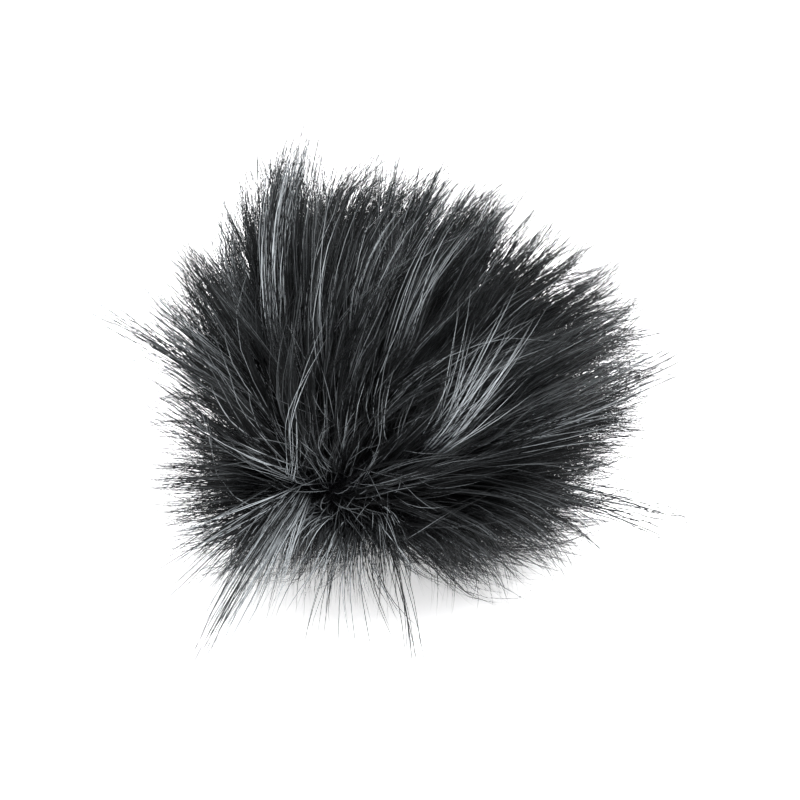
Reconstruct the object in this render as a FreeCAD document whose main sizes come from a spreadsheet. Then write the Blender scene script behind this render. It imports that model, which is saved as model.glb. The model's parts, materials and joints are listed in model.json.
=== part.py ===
import FreeCAD, Part
import Sketcher
import math
import os

# A small slip-on furry windscreen, lying on its side. The axis of the cover is Y: its closed crown
# points to -Y and its neck opens to +Y. The origin is the centre of the foam core's open end.
# Two fur panels, an upper and a lower one, meet in a seam that lies in the plane Z = 0.

PARTS_FOLDER = "parts"
SHEET = "dims"
FULL_TURN = 360.0
HALF_TURN = 180.0
OVERSIZE = 20.0  # how far a cutting solid runs past what it cuts

# Driving dimensions in millimetres and degrees: alias, value, meaning
DIMENSIONS = [
    ("foam_radius", 7.5, "outer radius of the foam core"),
    ("dome_depth", 12.5, "from the foam's open end to the centre of all the domes"),
    ("foam_edge_round", 1.0, "rounding of the foam's open end"),
    ("bore_radius", 3.0, "radius of the hole for the microphone capsule"),
    ("bore_depth", 14.0, "depth of that hole"),
    ("backing_inner", 8.7, "inner radius of the knitted backing"),
    ("backing_thickness", 0.8, "thickness of the knitted backing"),
    ("backing_reach", 3.4, "how far the backing runs past the foam's open end"),
    ("allowance_thickness", 0.6, "thickness of the turned-in seam allowance"),
    ("allowance_width", 2.0, "width of the seam allowance on each side of the seam"),
    ("allowance_reach", 1.0, "how far the allowance runs past the foam's open end"),
    ("underfur_depth", 4.0, "depth of the dense underfur on the backing"),
    ("underfur_reach", 1.0, "how far the underfur runs past the foam's open end"),
    ("fur_half_width", 29.5, "half the width of the fur, side to side"),
    ("fur_half_length", 31.0, "half the length of the fur, crown to neck"),
    ("fur_half_height", 24.5, "half the height of the fur before it is pressed flat below"),
    ("fur_centre_back", 1.0, "the fur's centre, behind the foam's open end"),
    ("fur_centre_up", 3.5, "the fur's centre, above the axis"),
    ("lying_height", 19.5, "height of the axis above the surface it lies on"),
    ("parting_radius", 11.2, "radius of the gap in the fur at the neck"),
    ("parting_flare", 14.0, "radius of that gap at its far end"),
    ("parting_length", 40.0, "length of that gap"),
    ("binding_inner", 8.05, "inner radius of the neck binding"),
    ("binding_thickness", 0.6, "thickness of the binding tape"),
    ("binding_start", 1.5, "where the binding's two edges lie"),
    ("fit_gap", 0.05, "gap between the backing and the binding's two legs"),
    ("casing_ring", 9.4, "radius of the ring that the elastic follows"),
    ("casing_back", 5.2, "that ring, behind the foam's open end"),
    ("casing_radius", 0.75, "inner radius of the channel that holds the elastic"),
    ("elastic_radius", 0.45, "radius of the round elastic"),
    ("splice_radius", 0.65, "outer radius of the sleeve that joins the elastic's ends"),
    ("splice_angle", 20.0, "angle of the ring that the sleeve covers"),
    ("thread_radius", 0.13, "radius of the sewing thread"),
    ("thread_gap", 0.05, "gap between the thread and the cloth it lies on"),
    ("seam_stitch", 1.4, "length of a stitch across the panel seam"),
    ("seam_pitch", 1.6, "distance between two of those stitches"),
    ("seam_end", 0.4, "last seam stitch, behind the foam's open end"),
    ("binding_stitch", 1.5, "length of a stitch along the binding"),
    ("binding_stitches", 24, "number of stitches round the binding"),
    ("binding_stitch_back", 2.3, "the row of those stitches, behind the foam's open end"),
]

document = FreeCAD.newDocument("furry_windscreen")
sheet = document.addObject("Spreadsheet::Sheet", SHEET)


def fill_sheet():
    """Write every driving dimension to the sheet as plain text with an alias."""
    for row, (alias, value, meaning) in enumerate(DIMENSIONS, start=1):
        sheet.set(f"A{row}", alias)
        sheet.set(f"B{row}", str(value))
        sheet.set(f"C{row}", meaning)
        sheet.setAlias(f"B{row}", alias)
    document.recompute()


def dim(alias):
    """The expression that reads one cell of the sheet."""
    return f"{SHEET}.{alias}"


def measure(expression):
    """The number that an expression gives with the sheet's present values."""
    return float(sheet.evalExpression(str(expression)))


def origin_plane(body, role):
    for feature in body.Origin.OriginFeatures:
        if feature.Role == role:
            return feature
    raise ValueError(f"the body has no {role}")


def pin_point(sketch, geometry, position, x, y):
    """Hold one point of a sketch at two expressions, measured from the sketch's origin."""
    if x == "0":
        sketch.addConstraint(Sketcher.Constraint("PointOnObject", geometry, position, -2))
    else:
        value = measure(x)
        number = sketch.addConstraint(
            Sketcher.Constraint("DistanceX", -1, 1, geometry, position, value)
        )
        sketch.setExpression(f"Constraints[{number}]", x)
    value = measure(y)
    number = sketch.addConstraint(
        Sketcher.Constraint("DistanceY", -1, 1, geometry, position, value)
    )
    sketch.setExpression(f"Constraints[{number}]", y)


def add_outline(sketch, corners, arcs):
    """A closed outline through corners, each a pair of expressions. arcs gives, for a corner's
    number, the radius and centre of the arc that leaves it; every other side is straight."""
    points = [FreeCAD.Vector(measure(x), measure(y), 0) for x, y in corners]
    starts = []
    for number, start in enumerate(points):
        end = points[(number + 1) % len(points)]
        if number in arcs:
            radius, centre_x, centre_y = arcs[number]
            centre = FreeCAD.Vector(measure(centre_x), measure(centre_y), 0)
            middle = (start - centre) + (end - centre)
            middle = centre + middle.normalize() * measure(radius)
            sketch.addGeometry(Part.Arc(start, middle, end), False)
        else:
            sketch.addGeometry(Part.LineSegment(start, end), False)
        at_start = (sketch.getPoint(number, 1) - start).Length < 1e-4
        starts.append(1 if at_start else 2)
    for number, start in enumerate(starts):
        following = (number + 1) % len(points)
        sketch.addConstraint(
            Sketcher.Constraint("Coincident", number, 3 - start, following, starts[following])
        )
    for number, (x, y) in enumerate(corners):
        pin_point(sketch, number, starts[number], x, y)
    for number, (radius, _, _) in arcs.items():
        bound = sketch.addConstraint(Sketcher.Constraint("Radius", number, measure(radius)))
        sketch.setExpression(f"Constraints[{bound}]", radius)


def revolved_body(name, corners, arcs, angle=FULL_TURN, upward=False):
    """A body turned about the Y axis from an outline in the XY plane."""
    body = document.addObject("PartDesign::Body", name)
    sketch = body.newObject("Sketcher::SketchObject", f"{name}_outline")
    sketch.AttachmentSupport = (origin_plane(body, "XY_Plane"), [""])
    sketch.MapMode = "FlatFace"
    document.recompute()
    add_outline(sketch, corners, arcs)
    document.recompute()
    turn = body.newObject("PartDesign::Revolution", f"{name}_turn")
    turn.Profile = sketch
    turn.ReferenceAxis = (sketch, ["V_Axis"])
    turn.Angle = angle
    turn.Reversed = upward
    sketch.Visibility = False
    document.recompute()
    return body


def dome_solid(name, radius, reach):
    """A full solid: a half ball at the crown end and a straight stretch out to reach."""
    centre = f"-{dim('dome_depth')}"
    corners = [
        ("0", f"{centre} - ({radius})"),
        (radius, centre),
        (radius, reach),
        ("0", reach),
    ]
    return revolved_body(name, corners, {0: (radius, "0", centre)})


def dome_shell(name, inner, outer, reach, upward):
    """Half of a shell between two such solids, above or below the seam plane."""
    centre = f"-{dim('dome_depth')}"
    corners = [
        ("0", f"{centre} - ({outer})"),
        (outer, centre),
        (outer, reach),
        (inner, reach),
        (inner, centre),
        ("0", f"{centre} - ({inner})"),
    ]
    arcs = {0: (outer, "0", centre), 4: (inner, "0", centre)}
    return revolved_body(name, corners, arcs, HALF_TURN, upward)


def half_space(name, low, high):
    """A wide box between two heights, for keeping one side of the seam plane."""
    half_width = f"{dim('fur_half_width')} + {OVERSIZE}"
    half_length = f"{dim('fur_half_length')} + {OVERSIZE}"
    box = document.addObject("Part::Box", name)
    box.setExpression("Length", f"2 * ({half_width})")
    box.setExpression("Width", f"2 * ({half_length})")
    box.setExpression("Height", f"({high}) - ({low})")
    box.setExpression("Placement.Base.x", f"-({half_width})")
    box.setExpression("Placement.Base.y", f"-({half_length})")
    box.setExpression("Placement.Base.z", low)
    return box


def boolean(kind, name, base, tool):
    """A Part::Cut or Part::Common of two objects."""
    result = document.addObject(kind, name)
    result.Base = base
    result.Tool = tool
    document.recompute()
    return result


def make_foam_core():
    """Open-cell foam plug with a round nose and a blind bore for the capsule."""
    centre = f"-{dim('dome_depth')}"
    radius = dim("foam_radius")
    bore = dim("bore_radius")
    floor = f"-{dim('bore_depth')}"
    corners = [
        ("0", f"{centre} - {radius}"),
        (radius, centre),
        (radius, "0"),
        (bore, "0"),
        (bore, floor),
        ("0", floor),
    ]
    body = revolved_body("foam_core", corners, {0: (radius, "0", centre)})
    turned = body.Tip
    rim_length = 2 * math.pi * measure(radius)
    rim = [
        f"Edge{number}"
        for number, edge in enumerate(turned.Shape.Edges, start=1)
        if abs(edge.Length - rim_length) < 1e-3 and abs(edge.CenterOfMass.y) < 1e-3
    ]
    rounding = body.newObject("PartDesign::Fillet", "foam_edge")
    rounding.Base = (turned, rim)
    rounding.setExpression("Radius", dim("foam_edge_round"))
    document.recompute()
    return body


def make_backing(side, upward, beyond_allowance):
    """Knitted half cover whose seam edge is turned in and lies flat against the inside."""
    centre = f"-{dim('dome_depth')}"
    outer = f"{dim('backing_inner')} + {dim('backing_thickness')}"
    inner = dim("backing_inner")
    folded = f"{dim('backing_inner')} - {dim('allowance_thickness')}"
    corners = [
        ("0", f"{centre} - ({outer})"),
        (outer, centre),
        (outer, dim("backing_reach")),
        (inner, dim("backing_reach")),
        (inner, dim("allowance_reach")),
        (folded, dim("allowance_reach")),
        (folded, centre),
        ("0", f"{centre} - ({folded})"),
    ]
    arcs = {0: (outer, "0", centre), 6: (folded, "0", centre)}
    thick = revolved_body(f"{side}_panel", corners, arcs, HALF_TURN, upward)
    core = dome_solid(f"{side}_panel_inside", inner, dim("allowance_reach"))
    clear = boolean("Part::Common", f"{side}_panel_clear", core, beyond_allowance)
    return boolean("Part::Cut", f"{side}_backing", thick, clear)


def make_underfur(side, upward):
    """Dense short pile that stands on one panel's backing."""
    inner = f"{dim('backing_inner')} + {dim('backing_thickness')}"
    outer = f"{inner} + {dim('underfur_depth')}"
    return dome_shell(f"{side}_underfur", inner, outer, dim("underfur_reach"), upward)


def make_guard_hair(side, envelope, kept_side, hollow):
    """The volume that one panel's long guard hair fills, outside the underfur."""
    half = boolean("Part::Common", f"{side}_hair_volume", envelope, kept_side)
    return boolean("Part::Cut", f"{side}_guard_hair", half, hollow)


def make_envelope():
    """The whole outside of the fur, before it is pressed flat below."""
    envelope = document.addObject("Part::Ellipsoid", "fur_envelope")
    envelope.setExpression("Radius1", dim("fur_half_height"))
    envelope.setExpression("Radius2", dim("fur_half_width"))
    envelope.setExpression("Radius3", dim("fur_half_length"))
    envelope.setExpression("Placement.Base.y", dim("fur_centre_back"))
    envelope.setExpression("Placement.Base.z", dim("fur_centre_up"))
    return envelope


def make_hollow():
    """What the guard hair goes round: the underfur's outside and the open way to the neck."""
    outer = f"{dim('backing_inner')} + {dim('backing_thickness')} + {dim('underfur_depth')}"
    inside = dome_solid("underfur_outside", outer, dim("underfur_reach"))
    parting = document.addObject("Part::Cone", "neck_parting")
    parting.setExpression("Radius1", dim("parting_radius"))
    parting.setExpression("Radius2", dim("parting_flare"))
    parting.setExpression("Height", dim("parting_length"))
    parting.Placement.Rotation = FreeCAD.Rotation(FreeCAD.Vector(1, 0, 0), -90)
    document.recompute()
    return boolean("Part::Fuse", "hair_hollow", inside, parting)


def make_neck_binding():
    """Tape folded round the backing's raw edge, with a round channel for the elastic."""
    start = dim("binding_start")
    inner_leg = dim("binding_inner")
    inner_face = f"{inner_leg} + {dim('binding_thickness')}"
    backing_outer = f"{dim('backing_inner')} + {dim('backing_thickness')}"
    outer_face = f"{backing_outer} + {dim('fit_gap')}"
    outer_leg = f"{outer_face} + {dim('binding_thickness')}"
    ring = dim("casing_ring")
    back = dim("casing_back")
    channel = dim("casing_radius")
    skin = f"{channel} + {dim('binding_thickness')}"
    corners = [
        (inner_leg, start),
        (f"{ring} - ({skin})", back),
        (ring, f"{back} + {skin}"),
        (f"{ring} + {skin}", back),
        (outer_leg, f"{back} - {skin}"),
        (outer_leg, start),
        (outer_face, start),
        (outer_face, f"{back} - {channel}"),
        (f"{ring} + {channel}", back),
        (ring, f"{back} + {channel}"),
        (f"{ring} - {channel}", back),
        (inner_face, start),
    ]
    arcs = {
        1: (skin, ring, back),
        2: (skin, ring, back),
        7: (channel, ring, back),
        8: (channel, ring, back),
        9: (channel, ring, back),
    }
    return revolved_body("neck_binding", corners, arcs)


def ring_torus(name, thickness, angle=None):
    """A round bar that follows the casing's ring, all round or over an angle."""
    ring = document.addObject("Part::Torus", name)
    ring.setExpression("Radius1", dim("casing_ring"))
    ring.setExpression("Radius2", dim(thickness))
    if angle:
        ring.setExpression("Angle3", dim(angle))
    ring.Placement.Rotation = FreeCAD.Rotation(FreeCAD.Vector(1, 0, 0), -90)
    ring.setExpression("Placement.Base.y", dim("casing_back"))
    document.recompute()
    return ring


def make_neck_elastic():
    return ring_torus("neck_elastic", "elastic_radius")


def make_elastic_splice(elastic):
    """Sleeve crimped over the two ends of the elastic."""
    sleeve = ring_torus("splice_bar", "splice_radius", "splice_angle")
    return boolean("Part::Cut", "elastic_splice", sleeve, elastic)


def make_stitches(name, length, places):
    """One short round stitch at each place, given as its middle and its direction."""
    up = FreeCAD.Vector(0, 0, 1)
    stitches = []
    for number, (middle, direction) in enumerate(places):
        stitch = document.addObject("Part::Cylinder", f"{name}_{number}")
        stitch.setExpression("Radius", dim("thread_radius"))
        stitch.setExpression("Height", dim(length))
        start = middle - direction * (measure(dim(length)) / 2)
        stitch.Placement = FreeCAD.Placement(start, FreeCAD.Rotation(up, direction))
        stitches.append(stitch)
    group = document.addObject("Part::Compound", name)
    group.Links = stitches
    document.recompute()
    return group


def seam_places():
    """Evenly spaced places along the seam: in from the neck, round the crown, out again."""
    folded = measure(f"{dim('backing_inner')} - {dim('allowance_thickness')}")
    radius = folded - measure(f"{dim('thread_radius')} + {dim('thread_gap')}")
    centre = -measure(dim("dome_depth"))
    straight = measure(dim("seam_end")) - centre
    around = math.pi * radius
    count = round((2 * straight + around) / measure(dim("seam_pitch")))
    across = FreeCAD.Vector(0, 0, 1)
    places = []
    for number in range(count + 1):
        travelled = (2 * straight + around) * number / count
        if travelled < straight:
            middle = FreeCAD.Vector(radius, centre + straight - travelled, 0)
        elif travelled < straight + around:
            angle = (travelled - straight) / radius
            middle = FreeCAD.Vector(
                radius * math.cos(angle), centre - radius * math.sin(angle), 0
            )
        else:
            middle = FreeCAD.Vector(-radius, centre + travelled - straight - around, 0)
        places.append((middle, across))
    return places


def binding_places():
    """Evenly spaced places round the outside of the binding."""
    leg = f"{dim('backing_inner')} + {dim('backing_thickness')} + {dim('fit_gap')}"
    outside = f"{leg} + {dim('binding_thickness')}"
    radius = measure(f"{outside} + {dim('thread_radius')} + {dim('thread_gap')}")
    back = measure(dim("binding_stitch_back"))
    count = int(measure(dim("binding_stitches")))
    places = []
    for number in range(count):
        angle = 2 * math.pi * number / count
        middle = FreeCAD.Vector(radius * math.cos(angle), back, radius * math.sin(angle))
        along = FreeCAD.Vector(-math.sin(angle), 0, math.cos(angle))
        places.append((middle, along))
    return places


def make_all():
    above = half_space("above_seam", "0", f"{dim('fur_half_height')} + {OVERSIZE}")
    below = half_space("below_seam", f"-{dim('lying_height')}", "0")
    above_allowance = half_space("above_allowance", dim("allowance_width"), f"{OVERSIZE}")
    below_allowance = half_space("below_allowance", f"-{OVERSIZE}", f"-{dim('allowance_width')}")
    document.recompute()
    envelope = make_envelope()
    hollow = make_hollow()
    elastic = make_neck_elastic()
    return [
        make_foam_core(),
        make_backing("upper", True, above_allowance),
        make_backing("lower", False, below_allowance),
        make_underfur("upper", True),
        make_underfur("lower", False),
        make_guard_hair("upper", envelope, above, hollow),
        make_guard_hair("lower", envelope, below, hollow),
        make_stitches("panel_seam_thread", "seam_stitch", seam_places()),
        make_neck_binding(),
        make_stitches("binding_stitches", "binding_stitch", binding_places()),
        elastic,
        make_elastic_splice(elastic),
    ]


def check(parts):
    """Stop if any object failed to compute or any sub-part isn't a valid solid."""
    for item in document.Objects:
        if "Invalid" in item.State or "Error" in item.State:
            raise RuntimeError(f"{item.Name} failed: {item.State}")
    for part in parts:
        shape = part.Shape
        if shape.isNull() or not shape.isValid() or not shape.Solids:
            raise RuntimeError(f"{part.Name} has no valid solid")


def export(parts):
    os.makedirs(PARTS_FOLDER, exist_ok=True)
    for part in parts:
        part.Label = part.Name
        part.Shape.exportStep(f"{PARTS_FOLDER}/{part.Label}.step")
        box = part.Shape.BoundBox
        print(
            f"{part.Label}: {len(part.Shape.Solids)} solids, {part.Shape.Volume:.1f} mm3, "
            f"x {box.XMin:.2f}..{box.XMax:.2f}, y {box.YMin:.2f}..{box.YMax:.2f}, "
            f"z {box.ZMin:.2f}..{box.ZMax:.2f}"
        )


fill_sheet()
windscreen = make_all()
document.recompute()
check(windscreen)
export(windscreen)
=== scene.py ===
import json
import math

import bpy
import numpy as np
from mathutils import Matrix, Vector


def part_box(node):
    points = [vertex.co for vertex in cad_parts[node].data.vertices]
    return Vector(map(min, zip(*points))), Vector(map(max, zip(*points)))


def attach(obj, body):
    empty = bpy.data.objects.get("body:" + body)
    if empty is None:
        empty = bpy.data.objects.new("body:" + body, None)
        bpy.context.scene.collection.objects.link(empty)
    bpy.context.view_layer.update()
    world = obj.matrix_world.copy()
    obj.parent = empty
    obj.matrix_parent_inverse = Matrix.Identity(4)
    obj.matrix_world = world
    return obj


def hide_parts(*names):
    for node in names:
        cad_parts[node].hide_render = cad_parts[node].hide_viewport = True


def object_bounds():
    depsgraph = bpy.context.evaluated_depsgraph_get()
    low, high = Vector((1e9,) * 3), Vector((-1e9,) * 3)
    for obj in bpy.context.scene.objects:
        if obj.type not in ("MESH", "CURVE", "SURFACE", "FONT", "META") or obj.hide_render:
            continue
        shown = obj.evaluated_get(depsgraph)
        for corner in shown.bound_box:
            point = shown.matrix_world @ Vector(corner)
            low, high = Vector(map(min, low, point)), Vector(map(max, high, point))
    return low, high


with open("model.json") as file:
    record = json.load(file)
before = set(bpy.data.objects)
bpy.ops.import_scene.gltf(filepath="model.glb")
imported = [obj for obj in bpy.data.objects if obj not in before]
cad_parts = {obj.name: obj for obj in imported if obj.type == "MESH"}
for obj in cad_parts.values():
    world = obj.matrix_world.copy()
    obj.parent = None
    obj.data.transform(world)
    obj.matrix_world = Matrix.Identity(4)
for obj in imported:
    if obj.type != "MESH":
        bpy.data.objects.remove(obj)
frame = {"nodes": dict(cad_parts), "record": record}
SCENE = bpy.context.scene
CAD_LOW, CAD_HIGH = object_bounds()

# The windscreen lies on its side: its axis is Y, the closed crown points to -Y, the neck opens to
# +Y, and the seam between its upper and lower fur panels lies in the plane Z = 0. Metres.
MM = 0.001
SEED = 11
COVER = "cover"
FOAM = "foam"
FLOOR = CAD_LOW[2]
BACKING_LOW, BACKING_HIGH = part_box("upper_backing")
BACKING_RADIUS = BACKING_HIGH[0]
DOME_CENTRE = BACKING_LOW[1] + BACKING_RADIUS
PILE_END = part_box("upper_underfur")[1][1]
BINDING_LOW, BINDING_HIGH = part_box("neck_binding")
BINDING_RADIUS = BINDING_HIGH[0]
# The elastic is a ring in the plane Y = RING_BACK.
ELASTIC_LOW, ELASTIC_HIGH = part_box("neck_elastic")
ELASTIC_RADIUS = (ELASTIC_HIGH[1] - ELASTIC_LOW[1]) / 2
RING_RADIUS = ELASTIC_HIGH[0] - ELASTIC_RADIUS
RING_BACK = (ELASTIC_HIGH[1] + ELASTIC_LOW[1]) / 2
AXIS = np.array([0.0, 1.0, 0.0])


# ---- small helpers

def unit(vectors):
    """Vectors scaled to length one, over the last axis."""
    return vectors / np.maximum(np.linalg.norm(vectors, axis=-1, keepdims=True), 1e-12)


def smooth(values, low, high):
    """Zero below low, one above high, and a smooth step between."""
    t = np.clip((values - low) / (high - low), 0, 1)
    return t * t * (3 - 2 * t)


def add_object(name, data):
    added = bpy.data.objects.new(name, data)
    SCENE.collection.objects.link(added)
    return added


def make_piece(name, shape, body, material, node):
    """A piece that rides on a body and replaces a CAD node. Its shape is its points, its
    triangles and one UV for each point."""
    points, faces, uv = shape
    mesh = bpy.data.meshes.new(name)
    sides = faces.shape[1]
    mesh.vertices.add(len(points))
    mesh.vertices.foreach_set("co", points.astype(np.float32).ravel())
    mesh.loops.add(faces.size)
    mesh.loops.foreach_set("vertex_index", faces.astype(np.int32).ravel())
    mesh.polygons.add(len(faces))
    mesh.polygons.foreach_set("loop_start", np.arange(0, faces.size, sides, dtype=np.int32))
    mesh.update(calc_edges=True)
    mesh.shade_smooth()
    layer = mesh.uv_layers.new(name="OFBake")
    layer.data.foreach_set("uv", uv[faces.ravel()].astype(np.float32).ravel())
    mesh.materials.append(material)
    piece = add_object(name, mesh)
    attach(piece, body)
    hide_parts(node)
    return piece


def spokes(angle):
    """Unit vectors at right angles to the axis, one for each angle round it."""
    return np.stack([np.cos(angle), 0 * angle, np.sin(angle)], axis=1)


def turn_towards(first, second, angle):
    """Each first direction, turned towards the second by an angle."""
    return first * np.cos(angle)[:, None] + second * np.sin(angle)[:, None]


def around_once(count):
    return np.arange(count) * 2 * math.pi / count


def lattice_noise(places, cell, seed):
    """Smooth noise from -1 to 1 at each place, with bumps about as large as a cell."""
    size = 32
    table = np.random.default_rng(seed).uniform(-1, 1, (size, size, size))
    scaled = places / cell
    low = np.floor(scaled).astype(int)
    part = scaled - low
    part = part * part * (3 - 2 * part)
    total = np.zeros(len(places))
    for corner in range(8):
        step = np.array([corner & 1, corner >> 1 & 1, corner >> 2])
        weight = np.where(step == 1, part, 1 - part).prod(axis=1)
        index = (low + step) % size
        total += weight * table[index[:, 0], index[:, 1], index[:, 2]]
    return total


def grid_faces(rows, columns, wrap_rows=False, wrap_columns=False):
    """Triangles of a grid of points, rows by columns, joined round where it wraps."""
    row = np.arange(rows if wrap_rows else rows - 1)[:, None]
    column = np.arange(columns if wrap_columns else columns - 1)[None]
    a = row * columns + column
    b = row * columns + (column + 1) % columns
    c = (row + 1) % rows * columns + (column + 1) % columns
    d = (row + 1) % rows * columns + column
    halves = [np.stack([a, b, c], axis=2), np.stack([a, c, d], axis=2)]
    return np.concatenate([half.reshape(-1, 3) for half in halves])


def travelled(path):
    """How far along the path each of its points is."""
    lengths = np.linalg.norm(np.diff(path, axis=0), axis=1)
    return np.concatenate([[0], np.cumsum(lengths)])


def even_steps(path, step):
    """The same path with its points evenly spaced, about a step apart."""
    distance = travelled(path)
    count = int(round(distance[-1] / step)) + 1
    places = np.linspace(0, distance[-1], count)
    return np.stack([np.interp(places, distance, part) for part in path.T], axis=1)


def turned(profile, columns):
    """Points of a profile, (radius, along) pairs, turned about Y: profile points by columns."""
    angle = around_once(columns)
    radius, back = profile[:, :1], profile[:, 1:]
    places = [radius * np.cos(angle), back + 0 * angle, radius * np.sin(angle)]
    return np.stack(places, axis=2)


# ---- the fur's shape

# The parting between the panels: how strongly the nap rises from it at the sides, how much of that
# is lost at the neck, and how much more it rises on the front.
PARTING = 0.25
CLOSED_BY_NECK = 0.85
FRONT_PARTING = 0.5
# How far above the floor lying hair stays, least and most, in millimetres; how steeply a lying
# hair may fall or rise; how strongly it turns outward.
LYING = (0.15, 1.6)
STEEPEST = (-0.9, 0.6)
OUTWARD = 1.2
NECK_GAP = 0.25 * MM
ROOT_WIDTH = 0.55
TIP_WIDTH = 0.02


class Pelt:
    """Places on the backing: a half ball at the crown, then a tube as far as the neck."""

    def __init__(self, rng, count):
        straight = PILE_END - DOME_CENTRE
        # The half ball's area is that of a tube one radius long.
        on_ball = rng.random(count) < BACKING_RADIUS / (BACKING_RADIUS + straight)
        around = rng.uniform(0, 2 * math.pi, count)
        polar = np.where(on_ball, np.arccos(rng.uniform(0, 1, count)), math.pi / 2)
        along = np.where(on_ball, 0, rng.uniform(0, straight, count))
        self.set_places(around, polar, along)

    def set_places(self, around, polar, along):
        self.around, self.polar, self.along = around, polar, along
        spoke = spokes(around)
        sine, cosine = np.sin(polar)[:, None], np.cos(polar)[:, None]
        self.normal = spoke * sine - AXIS * cosine
        self.nap = spoke * cosine + AXIS * sine
        self.root = self.normal * BACKING_RADIUS + AXIS * (DOME_CENTRE + along)[:, None]
        self.upper = np.sin(around) >= 0


def lie_down(place, before, heading, step_length, clearance):
    """Turn every step that ends too near the floor so that it runs outward along the floor."""
    low = place[:, 2] < clearance
    if low.any():
        drop = (clearance[low] - before[low, 2]) / step_length[low, 0]
        drop = np.clip(drop, *STEEPEST)
        flat = heading[low, :2] + OUTWARD * unit(before[low, :2] + 1e-9)
        flat = unit(flat) * np.sqrt(1 - drop ** 2)[:, None]
        place[low, :2] = before[low, :2] + flat * step_length[low]
        place[low, 2] = before[low, 2] + drop * step_length[low, 0]
    return place


def grow(rng, pelt, normal, length, lean_start, lean_end, wander, steps, fall=0.0):
    """The points of every hair. It leaves the backing at lean_start from the normal given and
    bends over to lean_end along the nap; it lies down on the floor where it meets it."""
    rise = np.where(pelt.upper, 1.0, -1.0)[:, None] * np.array([0.0, 0.0, 1.0])
    rise = rise - normal * (rise * normal).sum(axis=1, keepdims=True)
    front = smooth(-normal[:, 1], 0.2, 0.95)[:, None]
    by_neck = smooth(pelt.root[:, 1], -4 * MM, 2 * MM)[:, None]
    parting = PARTING * (1 - CLOSED_BY_NECK * by_neck) + FRONT_PARTING * front
    along = unit(pelt.nap + rise * parting)
    first = unit(turn_towards(normal, along, lean_start))
    last = unit(turn_towards(normal, along, lean_end))
    clearance = FLOOR + rng.uniform(*LYING, len(normal)) * MM
    points = np.empty((len(normal), steps + 1, 3))
    points[:, 0] = pelt.root
    step_length = (length / steps)[:, None]
    for step in range(steps):
        t = (step + 0.5) / steps
        bend = t ** 0.8
        heading = unit(first * (1 - bend) + last * bend + wander * t)
        heading[:, 2] -= fall * t * t
        heading = unit(heading)
        before = points[:, step]
        place = before + heading * step_length
        points[:, step + 1] = lie_down(place, before, heading, step_length, clearance)
    return points


def keep_neck_open(points):
    """Move every point that is over the neck out of the way to the foam core."""
    radius = np.hypot(points[..., 0], points[..., 2])
    behind = smooth(points[..., 1], PILE_END - 0.5 * MM, PILE_END + 1.5 * MM)
    least = (BINDING_RADIUS + NECK_GAP) * behind
    push = np.maximum(least / np.maximum(radius, 1e-9), 1)
    points[..., 0] *= push
    points[..., 2] *= push
    return points


def needles(points, radius, tone, taper, sides=3):
    """Closed needles along the hairs: points, triangles, and one UV for each point. U is the
    hair's tone and V runs from root to tip, which is all that the fur material reads."""
    count, rings = points.shape[0], points.shape[1] - 1
    heading = unit(np.gradient(points, axis=1))
    anywhere = np.array([[[0.31, 0.87, 0.38]]])
    side = unit(np.cross(heading, unit(np.cross(heading[:, :1], anywhere))))
    other = np.cross(heading, side)
    where = np.linspace(0, 1, rings + 1)
    width = radius[:, None] * taper(where)[None, :]
    corners = []
    for corner in range(sides):
        angle = 2 * math.pi * corner / sides
        offset = side * math.cos(angle) + other * math.sin(angle)
        corners.append(points[:, :rings] + offset[:, :rings] * width[:, :rings, None])
    rings_points = np.stack(corners, axis=2).reshape(count, rings * sides, 3)
    all_points = np.concatenate([rings_points, points[:, -1:]], axis=1)
    per_hair = rings * sides + 1
    faces = np.array(needle_faces(rings, sides))[None]
    faces = faces + np.arange(count)[:, None, None] * per_hair
    margin = 0.001
    across = np.tile(np.linspace(-0.0012, 0.0012, sides), rings)
    across = np.concatenate([across, [0.0]])
    u = np.clip(tone[:, None] + across[None, :], margin, 1 - margin)
    v = np.concatenate([np.repeat(where[:rings], sides), [1.0]])
    v = np.broadcast_to(2 * margin + (1 - 4 * margin) * v, u.shape)
    uv = np.stack([u, v], axis=2)
    return all_points.reshape(-1, 3), faces.reshape(-1, 3), uv.reshape(-1, 2)


def needle_faces(rings, sides):
    """One needle's triangles: its end at the root, its wall, and the cone of its tip."""
    faces = [(0, corner + 1, corner) for corner in range(1, sides - 1)]
    for ring in range(rings - 1):
        for corner in range(sides):
            a, b = ring * sides + corner, ring * sides + (corner + 1) % sides
            faces.append((a, b, b + sides))
            faces.append((a, b + sides, a + sides))
    last = (rings - 1) * sides
    for corner in range(sides):
        faces.append((last + corner, last + (corner + 1) % sides, rings * sides))
    return faces


def root_taper(where):
    return ROOT_WIDTH + (1 - ROOT_WIDTH) * smooth(where, 0, 0.25)


def guard_taper(where):
    """Slim at the root, full in the middle and drawn out to a point."""
    return root_taper(where) * (1 - where ** 3) ** 0.9 + TIP_WIDTH


def wisp_taper(where):
    """As full as a guard hair, and full for longer."""
    return root_taper(where) * (1 - where ** 7) + TIP_WIDTH


def nearest(places, guides):
    """For each place, the number of its nearest guide."""
    found = np.empty(len(places), int)
    at_once = 1000
    for start in range(0, len(places), at_once):
        near = places[start:start + at_once]
        apart = (guides ** 2).sum(axis=1)[None] - 2 * near @ guides.T
        found[start:start + at_once] = apart.argmin(axis=1)
    return found


GUARD_STEPS = 8
ALONG = np.linspace(0, 1, GUARD_STEPS + 1)[None, :, None]
LOCK_COUNT = 400
STRAND_COUNT = 4300
GUARD_COUNT = 26000
UNDERFUR_STEPS = 5
UNDERFUR_COUNT = 12000
STRAY_COUNT = 1400

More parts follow.
